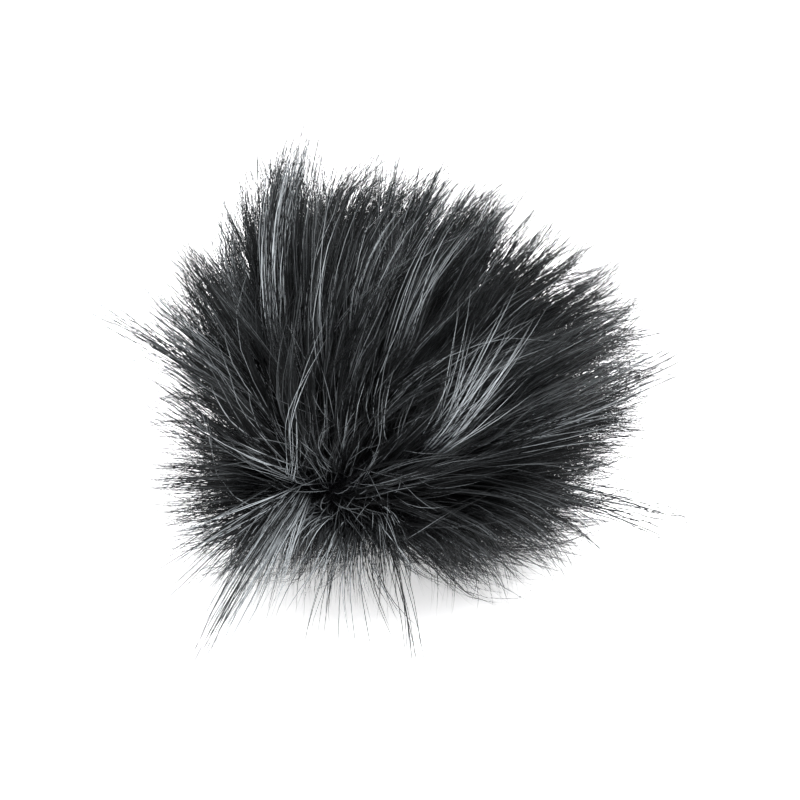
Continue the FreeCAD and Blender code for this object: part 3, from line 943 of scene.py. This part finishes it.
def make_stitches(node, name, bow):
    """Two-ply stitches where the CAD has plain ones, each bowed out of the cloth by bow."""
    along = np.linspace(-1, 1, STITCH_STEPS + 1)
    plies = []
    for solid in islands(node):
        middle = solid.mean(axis=0)
        axis = np.linalg.svd(solid - middle, full_matrices=False)[2][0]
        half = np.abs((solid - middle) @ axis).max()
        normal = on_backing(middle[None])[1][0]
        across = np.cross(axis, normal)
        path = middle + axis * (half * along)[:, None]
        path = path + normal * (bow * (0.25 - along ** 2))[:, None]
        for ply in range(2):
            turn = along * PLY_TWIST + ply * math.pi
            plies.append(path + turn_towards(across, normal, turn) * PLY_OFFSET)
    count = len(plies)
    tone = 0.2 + 0.6 * np.random.default_rng(SEED + 3).random(count)
    radius = np.full(count, PLY_RADIUS)
    shape = needles(np.array(plies), radius, tone, thread_taper, THREAD_SIDES)
    make_piece(name, shape, COVER, thread_material(name), node)


def make_elastic():
    """A round elastic: helical yarns run round the channel as a closed ring."""
    columns, yarns, sides, twists = 300, 8, 5, 38
    angle = around_once(columns)
    spoke = spokes(angle)
    yarn = ELASTIC_RADIUS * 0.3
    points, faces, uv = [], [], []
    for number in range(yarns):
        turn = twists * angle + number * 2 * math.pi / yarns
        lift = turn_towards(spoke, AXIS, turn)
        line = spoke * RING_RADIUS + AXIS * RING_BACK + lift * (ELASTIC_RADIUS - yarn)
        heading = unit(np.roll(line, -1, axis=0) - np.roll(line, 1, axis=0))
        other = np.cross(heading, lift)
        rings = []
        for side in range(sides):
            here = side * 2 * math.pi / sides
            rings.append(line + (lift * math.cos(here) + other * math.sin(here)) * yarn)
        faces.append(grid_faces(columns, sides, True, True) + len(points) * columns * sides)
        points.append(np.stack(rings, axis=1).reshape(-1, 3))
        share = np.full(columns * sides, (number + 0.5) / yarns)
        across = np.abs(np.tile(np.arange(sides), columns) / sides - 0.4)
        uv.append(np.stack([share, across], axis=1))
    shape = [np.concatenate(parts) for parts in (points, faces, uv)]
    make_piece("neck_elastic_yarns", shape, COVER, elastic_material(), "neck_elastic")


# ---- the foam core

FOAM_RIM = 1.0 * MM
FOAM_LIP = 0.3 * MM
FOAM_STEP = 0.25 * MM
FOAM_COLUMNS = 188
CELL_DEPTH = 0.2 * MM
SWELL_DEPTH = 0.05 * MM


def foam_profile():
    """The plug's outline, (radius, along) pairs: the nose, the rim, the bore's lip and its floor."""
    low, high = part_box("foam_core")
    radius, nose, mouth = high[0], low[1], high[1]
    bore = frame["record"]["mounts"][0]["dims"]
    hole, floor = bore["r_mm"] * MM, mouth - bore["length_mm"] * MM
    quarter = np.linspace(0, math.pi / 2, 40)
    rise, fall = np.sin(quarter), np.cos(quarter)
    corners = (
        (radius * rise, nose + radius * (1 - fall)),
        (radius - FOAM_RIM * (1 - fall), mouth - FOAM_RIM * (1 - rise)),
        (hole + FOAM_LIP * (1 - rise), mouth - FOAM_LIP * (1 - fall)),
        (hole - FOAM_LIP * (1 - fall), floor + FOAM_LIP * (1 - rise)),
    )
    outline = [np.stack(corner, axis=1) for corner in corners]
    return even_steps(np.concatenate([*outline, [(0.0, floor)]]), FOAM_STEP)


def make_foam():
    """Open-cell foam with a round nose, a softened rim and the bore for the capsule."""
    profile = foam_profile()
    tangent = unit(np.gradient(profile, axis=0))
    normal = np.stack([tangent[:, 1], -tangent[:, 0]], axis=1)
    rows, columns = len(profile), FOAM_COLUMNS
    points = turned(profile, columns).reshape(-1, 3)
    outward = turned(normal, columns).reshape(-1, 3)
    cells = lattice_noise(points, 0.5 * MM, 41) + 0.6 * lattice_noise(points, 0.3 * MM, 42)
    swell = lattice_noise(points, 3.5 * MM, 43)
    pits = smooth(cells, -0.2, 0.6)
    points = points - outward * (CELL_DEPTH * pits + SWELL_DEPTH * (swell + 1))[:, None]
    points[:columns] = points[:columns].mean(axis=0)
    points[-columns:] = points[-columns:].mean(axis=0)
    faces = grid_faces(rows, columns, wrap_columns=True)
    first, last = faces < columns, faces >= (rows - 1) * columns
    faces = whole(np.where(first, 0, np.where(last, (rows - 1) * columns, faces)))
    used, compact = np.unique(faces, return_inverse=True)
    # U is a random mottle, a little darker in the cells, where it is painted shade; V carries
    # painted shade into the pits.
    shade = np.clip(0.5 + 0.35 * swell - 0.1 * cells, 0.01, 0.99)
    uv = np.stack([shade, np.clip(1 - pits, 0.01, 0.99)], axis=1)
    shape = points[used], compact.reshape(-1, 3), uv[used]
    piece = make_piece("foam_plug", shape, FOAM, foam_material(), "foam_core")


# ---- materials

class Look:
    """A material, with short ways to add the nodes that it is made of."""

    def __init__(self, name, roughness, specular=0.5):
        self.material = bpy.data.materials.new(name)
        self.material.use_nodes = True
        self.tree = self.material.node_tree
        self.shader = self.tree.nodes["Principled BSDF"].inputs
        self.shader["Roughness"].default_value = roughness
        self.shader["Specular IOR Level"].default_value = specular

    def add(self, kind, inputs, **settings):
        """A new node. Each of its inputs is a plain value or another node's output."""
        node = self.tree.nodes.new("ShaderNode" + kind)
        for name, value in settings.items():
            setattr(node, name, value)
        for place, value in inputs.items():
            if isinstance(value, bpy.types.NodeSocket):
                self.tree.links.new(value, node.inputs[place])
            else:
                node.inputs[place].default_value = value
        return node

    def uv_numbers(self):
        """The two numbers of the UV of every mesh: on a hair, its tone and how far along it."""
        uv = self.add("UVMap", {}, uv_map="OFBake").outputs["UV"]
        split = self.add("SeparateXYZ", {"Vector": uv}).outputs
        return split["X"], split["Y"]

    def ramp(self, source, *stops):
        """A colour ramp on a value. A stop is a place, then one grey or red, green and blue."""
        node = self.add("ValToRGB", {"Fac": source})
        elements = node.color_ramp.elements
        while len(elements) < len(stops):
            elements.new(0.5)
        for element, (place, *colour) in zip(elements, stops):
            element.position = place
            element.color = (*(colour * 3)[:3], 1)
        return node.outputs["Color"]

    def mix(self, factor, first, second, kind="MIX"):
        inputs = {"Factor": factor, "A": first, "B": second}
        return self.add("Mix", inputs, data_type="RGBA", blend_type=kind).outputs["Result"]

    def number(self, operation, *values):
        return self.add("Math", dict(enumerate(values)), operation=operation).outputs["Value"]

    def plus(self, first, second):
        return self.number("ADD", first, second)

    def times(self, first, second):
        return self.number("MULTIPLY", first, second)

    def sine(self, value, factor):
        return self.number("SINE", self.times(value, factor))

    def done(self, colour, height=None, distance=0.0):
        """The material, with its colour and with a height that stands out of its surface."""
        self.tree.links.new(colour, self.shader["Base Color"])
        if height is not None:
            bump = self.add("Bump", {"Distance": distance, "Strength": 0.8, "Height": height})
            self.tree.links.new(bump.outputs["Normal"], self.shader["Normal"])
        return self.material


def fur_material():
    """Black hair, and pale hair that is dark at its root and its tip."""
    look = Look("guard_hair", 0.4, 0.08)
    tone, along = look.uv_numbers()
    dark = look.ramp(
        along, (0.0, 0.0007, 0.0008, 0.0009), (0.4, 0.0012, 0.0014, 0.0016),
        (0.8, 0.0026, 0.0031, 0.0035), (1.0, 0.005, 0.0057, 0.0063),
    )
    pale = look.ramp(
        along, (0.0, 0.001, 0.001, 0.0013), (0.16, 0.014, 0.015, 0.017),
        (0.42, 0.33, 0.356, 0.376), (0.8, 0.4, 0.43, 0.45), (1.0, 0.15, 0.162, 0.17),
    )
    which = look.ramp(
        tone, (0.0, 0), (0.45, 0.01), (0.6, 0.07), (0.7, 0.2), (0.88, 0.65), (1.0, 1),
    )
    return look.done(look.mix(which, dark, pale))


def underfur_material():
    look = Look("underfur", 0.6, 0.1)
    along = look.uv_numbers()[1]
    return look.done(look.ramp(along, (0.0, 0.001, 0.001, 0.0012), (1.0, 0.006, 0.0064, 0.007)))


def knit_material(name):
    """Plain knit: columns of small V-shaped loops, coloured darker in the gaps between them: painted
    shade.
    """
    look = Look(name, 0.85, 0.12)
    across, along = look.uv_numbers()
    wale = look.number("FRACT", look.times(across, 96.0))
    from_middle = look.number("ABSOLUTE", look.number("SUBTRACT", wale, 0.5))
    course = look.plus(look.times(along, 44.0), from_middle)
    loop, gap = look.sine(course, 2 * math.pi), look.sine(from_middle, 2 * math.pi)
    height = look.plus(look.times(loop, 0.3), look.times(gap, 0.5))
    # Darker where the knit is low: painted shade between the loops.
    colour = look.ramp(height, (0.0, 0.002, 0.002, 0.0024), (0.75, 0.012, 0.0125, 0.0135))
    return look.done(colour, height, 0.15 * MM)


def tape_material():
    """Fine twill tape whose ribs are painted slightly lighter than the hollows between them: painted
    light and shade.
    """
    look = Look("binding_tape", 0.7, 0.15)
    around, across = look.uv_numbers()
    slant = look.plus(look.times(around, 110.0), look.times(across, 60.0))
    rib, pick = look.sine(slant, 2 * math.pi), look.sine(across, 240 * math.pi)
    height = look.plus(look.plus(look.times(rib, 0.32), look.times(pick, 0.16)), 0.5)
    # Lighter where the tape is high: painted light on the ribs and painted shade between them.
    colour = look.ramp(height, (0.0, 0.002, 0.002, 0.0024), (1.0, 0.0105, 0.011, 0.012))
    return look.done(colour, height, 0.08 * MM)


def thread_material(name):
    look = Look(name, 0.5, 0.2)
    tone, along = look.uv_numbers()
    shade = look.plus(look.times(look.sine(along, 120.0), 0.2), tone)
    return look.done(look.ramp(shade, (0.0, 0.004, 0.004, 0.0045), (1.0, 0.018, 0.0185, 0.02)))


def elastic_material():
    look = Look("elastic", 0.6, 0.2)
    yarn, across = look.uv_numbers()
    shade = look.plus(look.times(yarn, 0.3), across)
    return look.done(look.ramp(shade, (0.0, 0.02, 0.0205, 0.022), (0.9, 0.005, 0.005, 0.0055)))


def foam_material():
    """Charcoal foam, with painted shade inside its open cells."""
    look = Look("foam", 0.9, 0.08)
    shade, open_part = look.uv_numbers()
    skin = look.ramp(shade, (0.0, 0.006, 0.006, 0.0068), (1.0, 0.017, 0.0175, 0.019))
    # Darker in the pits: painted shade.
    painted_pit_shade = look.ramp(open_part, (0.0, 0.1), (0.8, 1))
    return look.done(look.mix(1.0, skin, painted_pit_shade, "MULTIPLY"))


def sleeve_material():
    """Moulded plastic with a faint mottle and a fine grain."""
    look = Look("splice_sleeve", 0.45, 0.25)
    place = look.add("TexCoord", {}).outputs["Object"]
    grain = {"Scale": 2500.0, "Detail": 6.0, "Vector": place}
    mottle = look.add("TexNoise", grain).outputs["Fac"]
    colour = look.ramp(mottle, (0.3, 0.006, 0.006, 0.007), (0.7, 0.014, 0.014, 0.0155))
    return look.done(colour, mottle, 0.02 * MM)


def finish_cad_node(node, material):
    """Show a CAD node as it is, in a material of its own."""
    mesh = frame["nodes"][node].data
    mesh.materials.clear()
    mesh.materials.append(material)


# ---- stage

CAMERA_AZIMUTH = math.radians(22)
CAMERA_ELEVATION = math.radians(35)
CAMERA_DISTANCE = 0.5
VIEW_WIDTH = 89 * MM
SENSOR_WIDTH = 36
# How far the middle of the picture is from the fur's: to the left of it and below it.
AIM_OFFSET = (-0.9 * MM, -4.7 * MM, 0)


def make_camera():
    data = bpy.data.cameras.new("camera")
    camera = add_object("camera", data)
    SCENE.camera = camera
    level = math.cos(CAMERA_ELEVATION)
    right, away = math.sin(CAMERA_AZIMUTH) * level, -math.cos(CAMERA_AZIMUTH) * level
    back = Vector((right, away, math.sin(CAMERA_ELEVATION)))
    turn = (-back).to_track_quat("-Z", "Y")
    camera.rotation_mode = "QUATERNION"
    camera.rotation_quaternion = turn
    aim = Vector(FUR_CENTRE) + turn @ Vector(AIM_OFFSET)
    camera.location = aim + back * CAMERA_DISTANCE
    data.sensor_width = SENSOR_WIDTH
    data.lens = SENSOR_WIDTH * CAMERA_DISTANCE / VIEW_WIDTH
    data.clip_start = 0.01


def area_light(name, place, size, power):
    """A round light that shines on the origin."""
    data = bpy.data.lights.new(name, "AREA")
    data.shape = "DISK"
    data.size = size
    data.energy = power
    light = add_object(name, data)
    light.location = place
    light.rotation_mode = "QUATERNION"
    light.rotation_quaternion = (-Vector(place)).to_track_quat("-Z", "Y")


FLOOR_HALF = 3.0
# The floor's own glow, which lifts the shadow under the fur: painted light.
FLOOR_GLOW = 0.42
SKY_STRENGTH = 2.0


def make_stage():
    """The white table, which glows a little to lift the fur's shadow on it (painted light), the even
    white surroundings and two soft lights.
    """
    mesh = bpy.data.meshes.new("floor")
    corners = ((-1, -1), (1, -1), (1, 1), (-1, 1))
    points = [(x * FLOOR_HALF, y * FLOOR_HALF, FLOOR) for x, y in corners]
    mesh.from_pydata(points, [], [(0, 1, 2, 3)])
    floor = add_object("floor", mesh)
    look = Look("floor", 0.9)
    look.shader["Base Color"].default_value = (0.92, 0.92, 0.93, 1)
    look.shader["Emission Color"].default_value = (1, 1, 1, 1)
    look.shader["Emission Strength"].default_value = FLOOR_GLOW
    mesh.materials.append(look.material)
    world = bpy.data.worlds.new("world")
    SCENE.world = world
    world.use_nodes = True
    sky = world.node_tree.nodes["Background"]
    sky.inputs["Color"].default_value = (1, 1, 1, 1)
    sky.inputs["Strength"].default_value = SKY_STRENGTH
    area_light("key", (0.25, -0.15, 0.6), 0.35, 7.0)
    area_light("back", (-0.3, 0.45, 0.45), 0.3, 4.0)
    SCENE.view_settings.view_transform = "Standard"


make_camera()
make_stage()
make_foam()
make_backing("upper", 1)
make_backing("lower", -1)
make_binding()
make_elastic()
make_stitches("panel_seam_thread", "panel_seam_stitches", -0.1 * MM)
make_stitches("binding_stitches", "binding_tape_stitches", 0.2 * MM)
finish_cad_node("elastic_splice", sleeve_material())
guard_colour = fur_material()
make_guard_hair(guard_colour)
make_placed_hair(guard_colour)
make_underfur(underfur_material())
